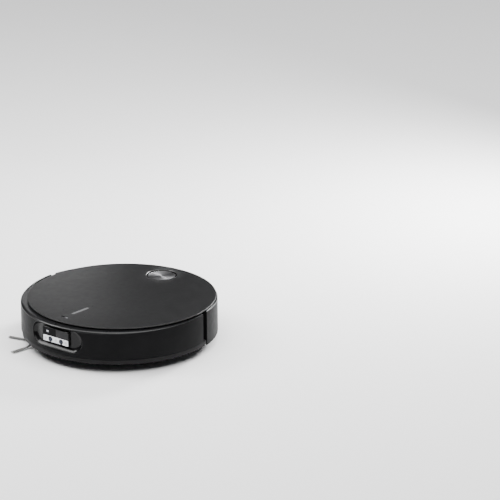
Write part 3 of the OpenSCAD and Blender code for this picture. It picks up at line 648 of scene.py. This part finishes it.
rear = add_mesh("rear_skin", *swept(shell_section, SHELL_LEFT, SHELL_RIGHT, REAR_STEPS),
                SHELL_BLACK, "body", "black_shell")
satin_top(rear)
for side in (-1, 1):
    for i in range(VENTS):
        cut_slot(rear, 180 + side * (VENT_START + VENT_STEP * i), VENT_LOW, VENT_HIGH,
                 VENT_HALF, 1.25 * MM)
    cut_slot(rear, 180 + side * CONTACT_ANGLE, CONTACT_LOW, CONTACT_HIGH, CONTACT_HALF,
             1.5 * MM)
cut_slot(rear, 180, INLET_LOW, INLET_HIGH, INLET_HALF, 3.98 * MM)
tidy_mesh(rear.data)
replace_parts(rear, "rear_shell")
end_cap("rear_end_left", REAR_CLOSING_IN, SHELL_LEFT + 0.3, SHELL_TOP - 1 * MM, "body")
end_cap("rear_end_right", REAR_CLOSING_IN, SHELL_RIGHT - 1.1, SHELL_TOP - 1 * MM, "body")


# ---- Recess round the window ----

WINDOW_HALF = 30.3 * MM
WINDOW_LOW, WINDOW_HIGH = window_low.z, window_high.z
WINDOW_TALL = WINDOW_HIGH - WINDOW_LOW
WINDOW_MIDDLE = (WINDOW_LOW + WINDOW_HIGH) / 2
WINDOW_FACE = 0.1699
SQUARENESS = 16
LIP_DEPTH = 1.15 * MM
LIP_STEPS, BOWL_STEPS, FLOOR_STEPS = 6, 12, 3


def window_outline(points, grow):
    """Moves an outline's points onto the window opening's rounded rectangle."""
    half, tall = WINDOW_HALF + grow, WINDOW_TALL / 2 + grow
    moved = []
    for across, height in points:
        x, y = across / half, (height - WINDOW_MIDDLE) / tall
        size = (abs(x) ** SQUARENESS + abs(y) ** SQUARENESS) ** (1 / SQUARENESS)
        moved.append((across / size, WINDOW_MIDDLE + (height - WINDOW_MIDDLE) / size))
    return moved


def between(first, second, share, inset):
    """A ring of the recess, part of the way from one outline to another."""
    return [on_body(a0 + (a1 - a0) * share, z0 + (z1 - z0) * share, inset)
            for (a0, z0), (a1, z1) in zip(first, second)]


outer = bar_outline(RECESS_LEN + 2.4 * MM, RECESS_H + 2.4 * MM, RECESS_Z)
lip = bar_outline(RECESS_LEN, RECESS_H, RECESS_Z)
bowl = bar_outline(RECESS_LEN - 12 * MM, WINDOW_TALL + 3.2 * MM, WINDOW_MIDDLE)
window_edge = window_outline(bowl, 0.8 * MM)
rings = [[on_body(a, z, 2.2 * MM) for a, z in outer]]
for i in range(LIP_STEPS + 1):
    t = math.pi / 2 * i / LIP_STEPS
    rings.append(between(outer, lip, math.sin(t), 0.05 * MM + 1.1 * MM * (1 - math.cos(t))))
for i in range(1, BOWL_STEPS + 1):
    t = i / BOWL_STEPS
    share = 0.7 * t + 0.3 * (1 - math.cos(t * math.pi / 2))
    sunk = 0.7 * t + 0.3 * math.sin(t * math.pi / 2)
    rings.append(between(lip, bowl, share, LIP_DEPTH + (RECESS_DEPTH - LIP_DEPTH) * sunk))
for i in range(1, FLOOR_STEPS + 1):
    rings.append(between(bowl, window_edge, i / FLOOR_STEPS, RECESS_DEPTH))
rings.append([on_body(a, z, RECESS_DEPTH + 1.4 * MM) for a, z in window_edge])
recess = add_mesh("recess_skin", *loft(rings), RECESS_BLACK, "bumper", "black_shell", 50)
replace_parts(recess, "recess_bezel")


# ---- Window and sensors ----

def slab(name, low, high, corner, front, depth, material, body, slot, edge=0.3 * MM):
    """A rounded plate facing the window's direction, from (across, height) corners."""
    (a0, z0), (a1, z1) = low, high
    outline = rounded(rectangle(low, high), corner, 5)
    inner = rounded(rectangle((a0 + edge, z0 + edge), (a1 - edge, z1 - edge)),
                    max(corner - edge, 0.05 * MM), 5)
    rows = [[window_point(front - depth, *p) for p in outline],
            [window_point(front - edge, *p) for p in outline],
            [window_point(front, *p) for p in inner]]
    verts, faces = loft(rows, True, True)
    return add_mesh(name, verts, faces, material, body, slot, 40)


def disc_stack(name, across, height, rows, material, body, slot, count=40, sharp=35):
    """Turns (radius, distance) rows about an axis that faces out of the window."""
    rings = [[window_point(d, across + r * math.cos(2 * math.pi * i / count),
                           height + r * math.sin(2 * math.pi * i / count))
              for i in range(count)] for r, d in rows]
    verts, faces = loft(rings, True, True)
    return add_mesh(name, verts, faces, material, body, slot, sharp)


def dome(radius, front, rise, steps=6):
    """Rows for a lens that bulges forward."""
    return [(radius * math.cos(math.pi / 2 * i / steps * 0.98),
             front + rise * math.sin(math.pi / 2 * i / steps)) for i in range(steps + 1)]


BAR_TOP = WINDOW_LOW + 12.2 * MM
SPLIT = 0.3 * MM
EDGE = 1.25 * MM
PANEL_FACE = WINDOW_FACE + 0.05 * MM
PANEL_LOW = BAR_TOP + 0.3 * MM
PANEL_EDGE = 0.12 * MM
PANEL_THICK = 1.0 * MM

frame_piece = slab("window_frame", (-WINDOW_HALF, WINDOW_LOW), (WINDOW_HALF, WINDOW_HIGH),
                   2.4 * MM, WINDOW_FACE, 9 * MM, GLOSS_BLACK, "body", "gloss_trim", 0.5 * MM)
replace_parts(frame_piece, "sensor_window")
slab("window_panel_dark", (-WINDOW_HALF + EDGE, PANEL_LOW), (SPLIT, WINDOW_HIGH - EDGE),
     0.6 * MM, PANEL_FACE, PANEL_THICK, PANEL_DARK, "body", "gloss_trim", PANEL_EDGE)
slab("window_panel_grey", (SPLIT + 0.4 * MM, PANEL_LOW), (WINDOW_HALF - EDGE, WINDOW_HIGH - EDGE),
     0.6 * MM, PANEL_FACE, PANEL_THICK, PANEL_GREY, "body", "gloss_trim", PANEL_EDGE)
bar = slab("light_bar_face", (-WINDOW_HALF + EDGE, WINDOW_LOW + EDGE),
           (WINDOW_HALF - EDGE, BAR_TOP - 0.2 * MM), 1.5 * MM, PANEL_FACE, PANEL_THICK,
           SILVER, "body", "silver_bar", PANEL_EDGE)
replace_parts(bar, "light_bar")

EYE_Y = 12.4 * MM
EYE_Z = WINDOW_LOW + 6.2 * MM
DOTS_Y = (-23.5 * MM, 0.4 * MM, 23.5 * MM)
for side, name in ((-1, "right"), (1, "left")):
    disc_stack("laser_ring_" + name, side * EYE_Y, EYE_Z,
               [(4.7 * MM, WINDOW_FACE - 0.8 * MM), (4.7 * MM, WINDOW_FACE + 0.15 * MM),
                (4.1 * MM, WINDOW_FACE + 0.4 * MM), (3.5 * MM, WINDOW_FACE + 0.1 * MM)],
               GLOSS_BLACK, "body", "gloss_trim")
    rows = [(3.5 * MM, WINDOW_FACE - 0.6 * MM)] + dome(3.4 * MM, WINDOW_FACE, 0.6 * MM)
    lens = disc_stack("laser_lens_" + name, side * EYE_Y, EYE_Z, rows, LENS, "body", "lens_glass")
    if side < 0:
        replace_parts(lens, "line_lasers")
for index, across in enumerate(DOTS_Y):
    disc_stack("light_dot_%d" % (index + 1), across, EYE_Z,
               [(2.7 * MM, WINDOW_FACE - 0.3 * MM), (2.7 * MM, WINDOW_FACE + 0.07 * MM),
                (2.4 * MM, WINDOW_FACE + 0.12 * MM)],
               SILVER_MARK, "body", "silver_bar", 28)
CAMERA_Y = -18.5 * MM
CAMERA_Z = WINDOW_HIGH - 7.6 * MM
LAMP_WIDE, LAMP_TALL = 2.2 * MM, 1.7 * MM
disc_stack("camera_ring", CAMERA_Y, CAMERA_Z,
           [(4.8 * MM, WINDOW_FACE - 0.6 * MM), (4.8 * MM, WINDOW_FACE + 0.1 * MM),
            (4.2 * MM, WINDOW_FACE + 0.3 * MM), (3.4 * MM, WINDOW_FACE + 0.1 * MM)],
           GLOSS_BLACK, "body", "gloss_trim")
rows = [(3.4 * MM, WINDOW_FACE - 0.5 * MM)] + dome(3.3 * MM, WINDOW_FACE, 0.5 * MM)
camera_lens = disc_stack("camera_dome", CAMERA_Y, CAMERA_Z, rows, LENS, "body", "lens_glass")
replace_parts(camera_lens, "camera_lens")
slab("camera_lamp", (CAMERA_Y - LAMP_WIDE, CAMERA_Z - LAMP_TALL),
     (CAMERA_Y + LAMP_WIDE, CAMERA_Z + LAMP_TALL), 0.8 * MM, WINDOW_FACE + 0.7 * MM,
     0.9 * MM, SILVER_MARK, "body", "silver_bar", 0.2 * MM)


# ---- Top cover ----

HOLE_R = BUTTON_R + 2.1 * MM
HOLE_EDGE = 1.0 * MM
MICROPHONE_R = 1.0 * MM
MICROPHONES = ((116, 25.5), (116, -25.5), (69, 0))  # along and across the marks' direction
LIGHT_SLOT = ((0.1384, -0.0075), (0.1422, 0.0095))
LIGHT_LENS = ((0.13855, -0.0073), (0.14205, 0.0093))
LIGHT_LAMP = ((0.1407, 0.0032), (0.1418, 0.0088))
BADGE_AT = 0.100
BADGE_LEN, BADGE_WIDE = 41 * MM, 6.0 * MM
BADGE_GAP = 0.6 * MM
CUT_LOW, CUT_HIGH = 0.07, 0.09  # well clear of the plate, below and above
COVER_STEPS, HOLE_STEPS, MICROPHONE_STEPS = 420, 140, 20


def ring_at(centre, radius, z, count):
    """A level circle of points about a centre."""
    return [centre + Vector((radius * math.cos(2 * math.pi * i / count),
                             radius * math.sin(2 * math.pi * i / count), z)) for i in range(count)]


def mark_prism(shape, low, high):
    """A prism over an outline that is given along and across the marks' direction."""
    return loft([[mark_point(d, a, z) for d, a in shape] for z in (low, high)], True, True)


def cover_piece():
    """The flat plate with a soft edge, and its holes for the button, light and microphones."""
    outline = [(0.0, COVER_LOW), (COVER_R - 0.5 * MM, COVER_LOW), (COVER_R, COVER_LOW + 0.5 * MM),
               (COVER_R, COVER_TOP), (0.08, COVER_TOP), (0.0, COVER_TOP)]
    section = rounded(outline, [0, 0, 0.3 * MM, 1.0 * MM, 0, 0], 6)
    plate = add_mesh("cover_plate", *lathe(section, 0, 360, COVER_STEPS, (COVER_AT.x, COVER_AT.y)),
                     COVER_BLACK, "cover", "black_cover")
    at = Vector((BUTTON_AT.x, BUTTON_AT.y, 0))
    hole = ((HOLE_R, CUT_LOW), (HOLE_R, COVER_TOP - 0.9 * MM),
            (HOLE_R + HOLE_EDGE, COVER_TOP + 0.1 * MM), (HOLE_R + HOLE_EDGE, CUT_HIGH))
    cut(plate, *loft([ring_at(at, r, z, HOLE_STEPS) for r, z in hole], True, True))
    for distance, across in MICROPHONES:
        centre = mark_point(distance * MM, across * MM, 0)
        bore = [ring_at(centre, MICROPHONE_R, z, MICROPHONE_STEPS) for z in (CUT_LOW, CUT_HIGH)]
        cut(plate, *loft(bore, True, True))
    light_slot = rounded(rectangle(*LIGHT_SLOT), 1.5 * MM, 5)
    cut(plate, *mark_prism(light_slot, CUT_LOW, CUT_HIGH))
    pocket = bar_outline(BADGE_LEN + BADGE_GAP, BADGE_WIDE + BADGE_GAP, 0)
    cut(plate, *mark_prism([(BADGE_AT + d, a) for d, a in pocket],
                           COVER_TOP - 0.7 * MM, CUT_HIGH))
    tidy_mesh(plate.data, 30)
    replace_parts(plate, "top_cover")


cover_piece()

BADGE_EDGE = 0.1 * MM
badge_rows = []
for grow, z in ((0, COVER_TOP - 0.4 * MM), (0, COVER_TOP - BADGE_EDGE), (-BADGE_EDGE, COVER_TOP)):
    shape = bar_outline(BADGE_LEN + 2 * grow, BADGE_WIDE + 2 * grow, 0, 16)
    badge_rows.append([mark_point(BADGE_AT + d, a, z) for d, a in shape])
badge = add_mesh("cover_badge_bar", *loft(badge_rows, True, True), BADGE, "cover", "silver_bar", 40)
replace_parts(badge, "cover_badge")


def strip(name, corners, top, corner, material, slot):
    """A small bar in the cover's light slot, between two (distance, across) corners."""
    shape = rounded(rectangle(*corners), corner, 5)
    return add_mesh(name, *mark_prism(shape, COVER_LOW, top), material, "cover", slot, 40)


lens_bar = strip("indicator_lens", LIGHT_LENS, COVER_TOP - 0.7 * MM, 1.4 * MM, GLOSS_BLACK,
                 "gloss_trim")
strip("indicator_lamp", LIGHT_LAMP, COVER_TOP - 0.35 * MM, 0.5 * MM, SILVER_MARK, "silver_bar")
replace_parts(lens_bar, "indicator_light")


# ---- Power button ----

def turned(name, section, material, body, slot, count=160, sharp=35):
    """A full turn of a closed section about the button's axis."""
    verts, faces = lathe(section, 0, 360, count, (BUTTON_AT.x, BUTTON_AT.y))
    return add_mesh(name, verts, faces, material, body, slot, sharp)


PIP_R, DISH_R = 1.2 * MM, 1.9 * MM
PIP_DEPTH, DISH_DEPTH, DISH_RISE = 1.1 * MM, 0.55 * MM, 0.35 * MM
DISH_STEPS = 12
BUTTON_DEPTH = 2.4 * MM
button_section = [(0.0, BUTTON_TOP - PIP_DEPTH), (PIP_R, BUTTON_TOP - PIP_DEPTH),
                  (DISH_R, BUTTON_TOP - DISH_DEPTH)]
for i in range(1, DISH_STEPS + 1):
    t = i / DISH_STEPS
    button_section.append((DISH_R + (BUTTON_R - 3.2 * MM) * t,
                           BUTTON_TOP - DISH_DEPTH + DISH_RISE * t * t))
button_section += [(BUTTON_R - 0.9 * MM, BUTTON_TOP), (BUTTON_R - 0.25 * MM, BUTTON_TOP),
                   (BUTTON_R, BUTTON_TOP - 0.3 * MM), (BUTTON_R, BUTTON_TOP - BUTTON_DEPTH),
                   (0.0, BUTTON_TOP - BUTTON_DEPTH)]
button = turned("button_disc", button_section, SPUN, "power_button", "spun_metal")
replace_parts(button, "power_button")
BEZEL_WALL = 1.5 * MM
BEZEL_LOW, BEZEL_TOP = 0.0745, COVER_TOP - 0.6 * MM
bezel_r = BUTTON_R + 0.3 * MM
bezel_section = rounded(rectangle((bezel_r, BEZEL_LOW), (bezel_r + BEZEL_WALL, BEZEL_TOP)),
                        [0, 0, 0.5 * MM, 0.4 * MM], 4)
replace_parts(turned("button_ring", bezel_section, GLOSS_BLACK, "body", "gloss_trim"), "button_bezel")


# ---- Side brush ----

HUB = Vector((0.092, -0.106, 0))
ARMS = 5
ARM_TURN = math.radians(-16.5)
ARM_START, ARM_REACH = 8 * MM, 36 * MM
ARM_HIGH = 6.6 * MM
ARM_FALL, FALL_START, FALL_REACH = 4.1 * MM, 11 * MM, 23 * MM
ARM_BEND = 0.12
ARM_STEPS, ARM_SIDES = 14, 16
GRIP_AT = 0.86


def arm_path(angle, t):
    """A point along a side brush arm, t from 0 at the hub to 1 at the arm's end."""
    r = ARM_START + (ARM_REACH - ARM_START) * t
    z = ARM_HIGH - ARM_FALL * min(1, max(0, (r - FALL_START) / FALL_REACH))
    bend = ARM_BEND * (t - 1)
    return Vector((r * math.cos(angle + bend), r * math.sin(angle + bend), z)) + HUB


def side_arm(index):
    """A flat rubber arm that thins towards the bristles it grips."""
    angle = ARM_TURN + index * 2 * math.pi / ARMS
    rings = []
    for i in range(ARM_STEPS + 1):
        t = i / ARM_STEPS
        centre = arm_path(angle, t)
        along = (arm_path(angle, t + 0.01) - centre).normalized()
        across = along.cross(Vector((0, 0, 1))).normalized()
        over = across.cross(along)
        wide = 2.9 * MM - 0.7 * MM * t
        if t >= GRIP_AT:
            wide = 2.3 * MM + 0.5 * MM * math.sin((t - GRIP_AT) / (1 - GRIP_AT) * 3.1)
        tall = 1.75 * MM - 0.75 * MM * t
        rings.append([centre + across * wide * math.cos(a) + over * tall * math.sin(a)
                      for a in (2 * math.pi * j / ARM_SIDES for j in range(ARM_SIDES))])
    return loft(rings, True, True)


def joined(parts):
    """Joins several (verts, faces) into one."""
    verts, faces = [], []
    for part_verts, part_faces in parts:
        base = len(verts)
        verts += list(part_verts)
        faces += [tuple(base + i for i in face) for face in part_faces]
    return verts, faces


HUB_R, HUB_LOW, HUB_HIGH = 11 * MM, 4.6 * MM, 10.8 * MM
SHAFT_R, SHAFT_TOP = 4 * MM, 21 * MM
hub_section = rounded([(0.0, HUB_LOW), (9.4 * MM, HUB_LOW), (HUB_R, 6.2 * MM), (HUB_R, HUB_HIGH),
                       (SHAFT_R, HUB_HIGH), (SHAFT_R, SHAFT_TOP), (0.0, SHAFT_TOP)],
                      [0, 1.2 * MM, 1.2 * MM, 0.5 * MM, 0, 0, 0], 4)
hub_piece = add_mesh("side_brush_arms",
                     *joined([lathe(hub_section, 0, 360, 64, (HUB.x, HUB.y))] +
                             [side_arm(i) for i in range(ARMS)]),
                     ARM_RUBBER, "side_brush", "dark_plastic", 40)
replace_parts(hub_piece, "side_brush_hub")


STRANDS = 90
STRAND_SIDES, STRAND_STEPS = 5, 7
STRAND_R = 0.24 * MM
BRUSH_REACH = 68 * MM


def bristle(start, direction, length, droop, sway):
    """One nylon strand: leaves its arm straight, then sags to the floor and drifts sideways."""
    across = direction.cross(Vector((0, 0, 1))).normalized()
    rings = []
    for i in range(STRAND_STEPS + 1):
        t = i / STRAND_STEPS
        centre = start + direction * length * t + across * sway * t * t
        centre.z = max(start.z - droop * t ** 1.4, 0.75 * MM)
        r = STRAND_R * (1 - 0.45 * t)
        rings.append([centre + across * r * math.cos(a) + Vector((0, 0, 1)) * r * math.sin(a)
                      for a in (2 * math.pi * j / STRAND_SIDES for j in range(STRAND_SIDES))])
    return loft(rings, True, True)


rng = random.Random(11)
strands = []
for index in range(ARMS):
    angle = ARM_TURN + index * 2 * math.pi / ARMS
    root = arm_path(angle, 0.93)
    for i in range(STRANDS):
        spread = rng.gauss(0, 0.05)
        direction = Vector((math.cos(angle + spread), math.sin(angle + spread), 0))
        start = root + Vector((-math.sin(angle), math.cos(angle), 0)) * rng.uniform(-2.4, 2.4) * MM
        start.z += rng.uniform(-0.55, 0.55) * MM
        reach = (BRUSH_REACH - ARM_REACH + 2 * MM) * rng.uniform(0.86, 1.04)
        strands.append(bristle(start, direction, reach, rng.uniform(0.2, 1.4) * MM,
                               rng.uniform(-1.8, 1.8) * MM))
bristles = add_mesh("side_brush_strands", *joined(strands), BRISTLE, "side_brush", "bristle", 60)
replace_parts(bristles, "side_brush_bristles")


# ---- Main brush ----

core_low, core_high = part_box("brush_blades")
BRUSH_AXIS = Vector(((core_low.x + core_high.x) / 2, 0, (core_low.z + core_high.z) / 2))
BRUSH_R = (core_high.x - core_low.x) / 2
BRUSH_HALF = core_high.y
SLEEVE_IN, SLEEVE_OUT = 9.05 * MM, 11 * MM
BLADES = 6
BLADE_STEPS = 60
BLADE_END = 2 * MM
BLADE_TWIST = 1.15
BLADE_R = 20.5 * MM
BLADE_SECTION = ((10.6, 1.7), (14, 1.25), (18, 0.95), (20.2, 0.6), (20.45, 0.0), (20.2, -0.6),
                 (18, -0.95), (14, -1.25), (10.6, -1.7))  # radius and half thickness, in mm


def chevron_blade(index):
    """A soft blade that winds to the middle from both ends."""
    rings = []
    for i in range(BLADE_STEPS + 1):
        y = -BRUSH_HALF + BLADE_END + 2 * (BRUSH_HALF - BLADE_END) * i / BLADE_STEPS
        turn = 2 * math.pi * index / BLADES + BLADE_TWIST * abs(y) / BRUSH_HALF
        ring = []
        for r, half in BLADE_SECTION:
            radius = r * MM * BRUSH_R / BLADE_R
            a = turn + half * MM / radius
            ring.append(BRUSH_AXIS + Vector((radius * math.cos(a), y, radius * math.sin(a))))
        rings.append(ring)
    return loft(rings, True, True)


def roll_tube(inner, outer):
    """The rubber sleeve that carries the blades, open at both ends."""
    rings = []
    edge = 0.6 * MM
    for r, y in ((inner, -BRUSH_HALF), (outer - edge, -BRUSH_HALF), (outer, -BRUSH_HALF + edge),
                 (outer, BRUSH_HALF - edge), (outer - edge, BRUSH_HALF), (inner, BRUSH_HALF)):
        rings.append([BRUSH_AXIS + Vector((r * math.cos(a), y, r * math.sin(a)))
                      for a in (2 * math.pi * j / 64 for j in range(64))])
    return loft(rings)


blades = add_mesh("brush_fins", *joined([roll_tube(SLEEVE_IN, SLEEVE_OUT)] +
                                        [chevron_blade(i) for i in range(BLADES)]),
                  BLADE_RUBBER, "main_brush", "blade_rubber", 40)
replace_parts(blades, "brush_blades")


# ---- Mop pads ----

PAD_POINTS = 132
PAD_UNDER, PAD_RIM = 15, 9  # rings across the underside, and steps round the rim
PAD_HOLE = 0.04  # of the pad's radius
PAD_LUMP = 0.32
PAD_WAVE = 0.25 * MM


def mop_pad(side):
    """A round pad of looped cloth, with a domed rim and a lumpy, slightly waved underside."""
    low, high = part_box("mop_pad_" + side)
    centre = (low + high) / 2
    middle = (low.z + high.z) / 2
    radius = (high.x - low.x) / 2
    rnd = random.Random(5 if side == "left" else 6)
    section = []
    for i in range(PAD_UNDER):
        section.append((radius * (PAD_HOLE + 0.90 * i / (PAD_UNDER - 1)), low.z + 0.35 * MM))
    for i in range(1, PAD_RIM):
        a = math.pi * i / PAD_RIM
        section.append((radius - 2.4 * MM + 2.2 * MM * math.sin(a),
                        middle - 0.2 * MM - 2.5 * MM * math.cos(a)))
    top = high.z - 0.2 * MM
    section += [(radius - 3.4 * MM, top), (radius * PAD_HOLE, top)]
    uneven = PAD_UNDER + PAD_RIM - 1
    rings = []
    for k, (r, z) in enumerate(section):
        ring = []
        for j in range(PAD_POINTS):
            a = 2 * math.pi * j / PAD_POINTS
            lump = rnd.uniform(-PAD_LUMP, PAD_LUMP) * MM if 0 < k < uneven else 0
            wave = PAD_WAVE * math.sin(3 * a + k * 0.7) if k < PAD_UNDER else 0
            ring.append(Vector((centre.x + (r + lump * 0.5) * math.cos(a),
                                centre.y + (r + lump * 0.5) * math.sin(a),
                                max(z + lump + wave, low.z))))
        rings.append(ring)
    verts, faces = loft(rings, True, True)
    pad = add_mesh("mop_cloth_" + side, verts, faces, MOP_CLOTH, "mop_" + side, "mop_cloth", 80)
    pad.data.shade_smooth()
    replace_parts(pad, "mop_pad_" + side)


mop_pad("left")
mop_pad("right")
